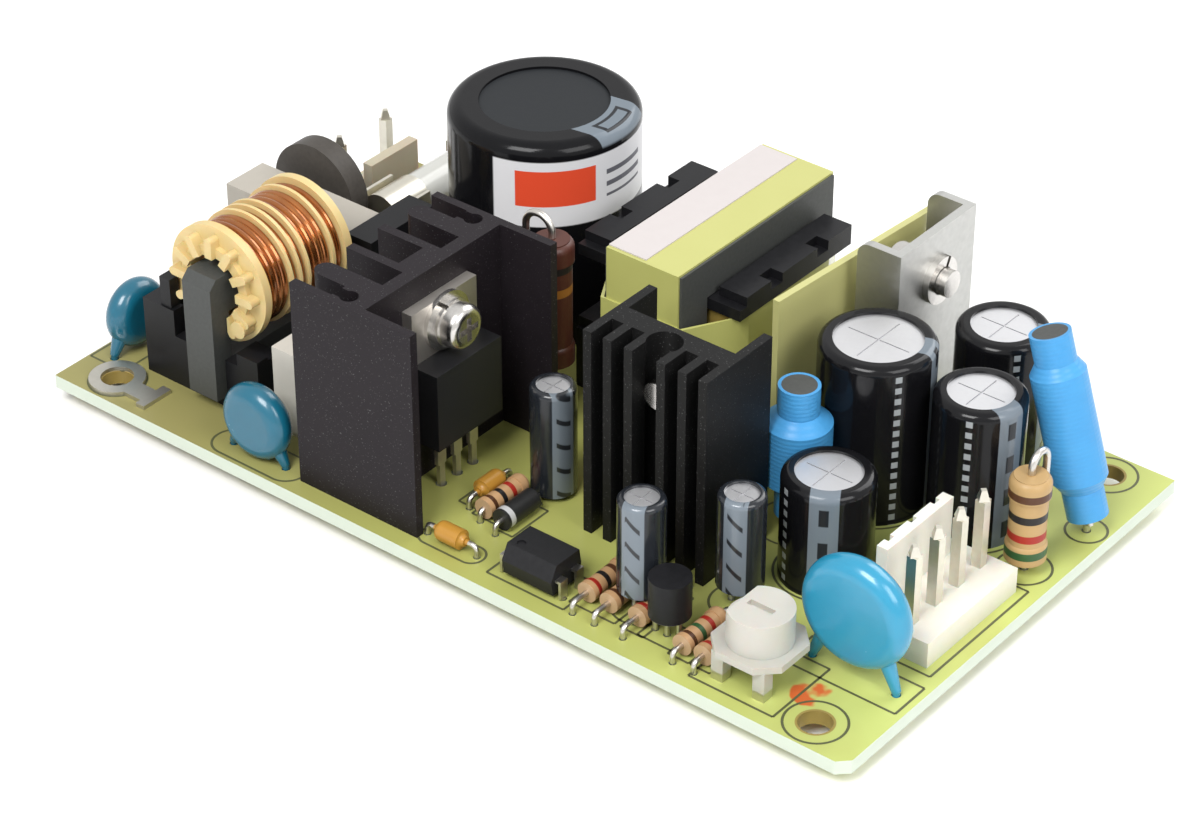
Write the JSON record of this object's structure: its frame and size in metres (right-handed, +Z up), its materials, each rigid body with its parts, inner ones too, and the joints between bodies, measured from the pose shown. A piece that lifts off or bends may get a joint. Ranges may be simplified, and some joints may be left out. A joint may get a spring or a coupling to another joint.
{
  "type": "open frame power supply",
  "caption": "Open frame power supply: a printed board with line filter, bulk capacitor, heatsinks, transformer and output filter.",
  "frame": {"origin": "under the middle of the board, at the tips of the solder joints", "axes": "+X along the board from the input header to the output header, +Y across the board away from the trimmer, +Z up from the solder side to the components"},
  "size_m": [0.106, 0.0596, 0.0288],
  "materials": {
    "board_laminate": "satin solder mask on glass laminate",
    "tinned_metal": "dull tin plate",
    "connector_plastic": "satin",
    "white_ceramic": "glazed",
    "black_plastic": "moulded satin",
    "film_box": "satin",
    "ferrite": "ground ferrite",
    "cream_plastic": "satin",
    "copper_wire": "enamelled copper",
    "blue_lacquer": "glossy dipped lacquer",
    "can_aluminium": "bright",
    "black_sleeve": "glossy shrink sleeve",
    "grey_sleeve": "glossy shrink sleeve",
    "black_aluminium": "black anodised",
    "barrier_film": "satin sheet",
    "yellow_tape": "polyester tape",
    "white_label": "paper",
    "blue_sleeve": "shrink tube",
    "tan_lacquer": "lacquer",
    "red_lacquer": "lacquer",
    "orange_lacquer": "lacquer",
    "clear_plastic": "translucent"
  },
  "bodies": {
    "board": {"circuit_board": "board_laminate", "solder_joints": "tinned_metal", "earth_terminal": "tinned_metal", "input_header": "connector_plastic", "output_header": "connector_plastic", "header_pins": "tinned_metal", "fuse_tube": "white_ceramic", "fuse_end_caps": "tinned_metal", "fuse_clips": "tinned_metal", "thermistor": "black_plastic", "suppression_capacitor_rear": "film_box", "suppression_capacitor_front": "film_box", "choke_core": "ferrite", "choke_bobbin": "cream_plastic", "choke_windings": "copper_wire", "choke_base": "black_plastic", "disc_capacitor_earth": "blue_lacquer", "disc_capacitor_line": "blue_lacquer", "disc_capacitor_output": "blue_lacquer", "bridge_rectifier": "black_plastic", "bulk_capacitor_can": "can_aluminium", "bulk_capacitor_sleeve": "black_sleeve", "main_heatsink": "black_aluminium", "heatsink_pins": "tinned_metal", "transistor_frame": "tinned_metal", "transistor_body": "black_plastic", "output_heatsink": "black_aluminium", "rectifier_frame": "tinned_metal", "rectifier_body": "black_plastic", "bracket": "tinned_metal", "bracket_diode_frame": "tinned_metal", "bracket_diode_body": "black_plastic", "mounting_screws": "tinned_metal", "flat_washers": "tinned_metal", "spring_washers": "tinned_metal", "insulation_barrier": "barrier_film", "transformer_core": "ferrite", "transformer_bobbin": "black_plastic", "transformer_winding": "yellow_tape", "transformer_tape": "yellow_tape", "transformer_label": "white_label", "output_capacitor_cans": "can_aluminium", "output_capacitor_sleeves": "black_sleeve", "small_capacitor_cans": "can_aluminium", "small_capacitor_sleeves": "grey_sleeve", "rod_choke_cores": "ferrite", "rod_choke_sleeves": "blue_sleeve", "bleed_resistor": "tan_lacquer", "snubber_resistor": "red_lacquer", "film_resistors": "tan_lacquer", "ceramic_capacitors": "orange_lacquer", "diode": "black_plastic", "optocoupler": "black_plastic", "regulator": "black_plastic", "trimmer_base": "clear_plastic"},
    "rotor": {"trimmer_rotor": "clear_plastic"}
  },
  "joints": [
    {"name": "trimmer_turn", "type": "hinge", "parent": "board", "child": "rotor", "pos_m": [0.0382, -0.0234, 0.0076], "axis": [0, 0, 1], "range_deg": [-120, 120]}
  ]
}
